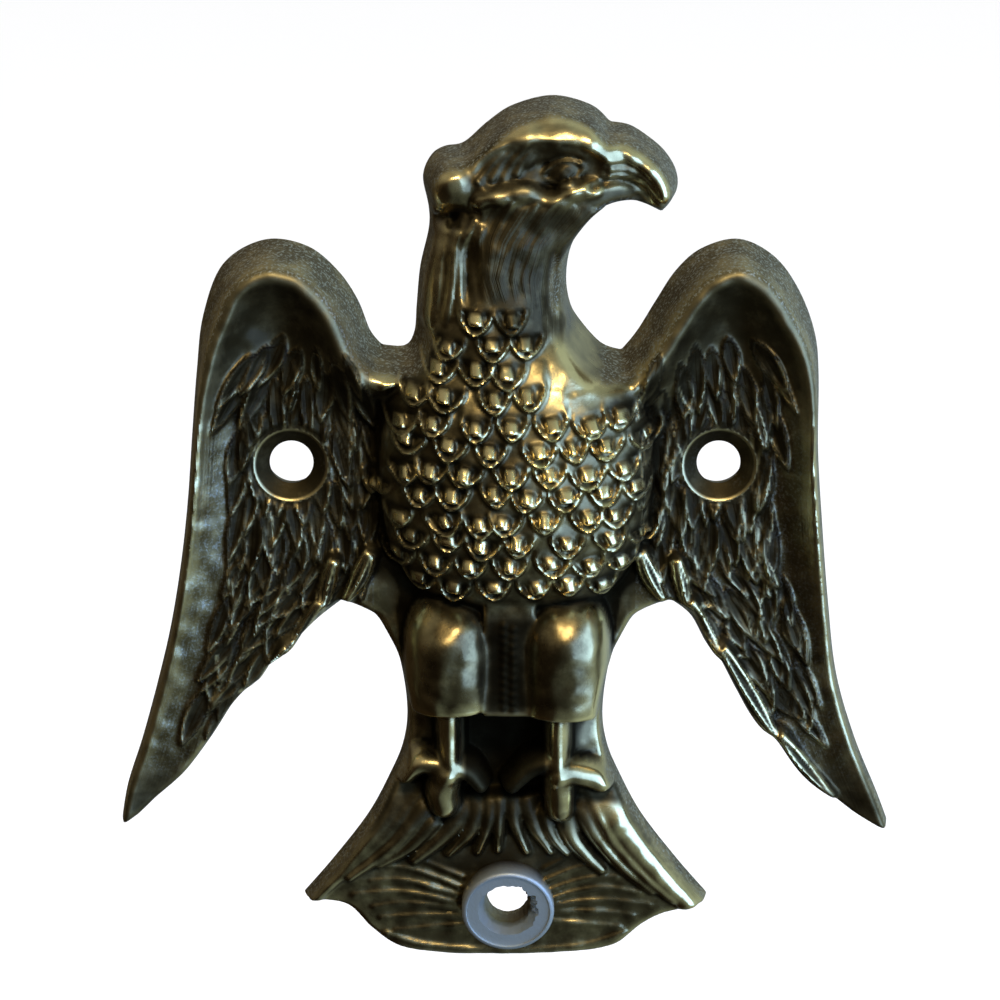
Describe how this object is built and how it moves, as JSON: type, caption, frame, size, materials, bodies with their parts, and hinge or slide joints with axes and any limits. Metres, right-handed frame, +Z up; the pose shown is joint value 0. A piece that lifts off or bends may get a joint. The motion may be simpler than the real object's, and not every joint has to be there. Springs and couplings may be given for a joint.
{
  "type": "eagle wall plaque",
  "caption": "Cast brass wall plaque of an eagle with lowered wings, its head in profile, with screw holes in both wings and the tail.",
  "frame": {"origin": "on the wall plane, midway between the two wing screws", "axes": "+X to the viewer's right, +Y into the wall, +Z up; the relief faces -Y"},
  "size_m": [0.1019, 0.018, 0.1152],
  "materials": {
    "cast_brass": "dark brown patina, rubbed to gold on the high points, satin to glossy"
  },
  "bodies": {
    "root": {"eagle_plaque": "cast_brass"}
  },
  "joints": []
}
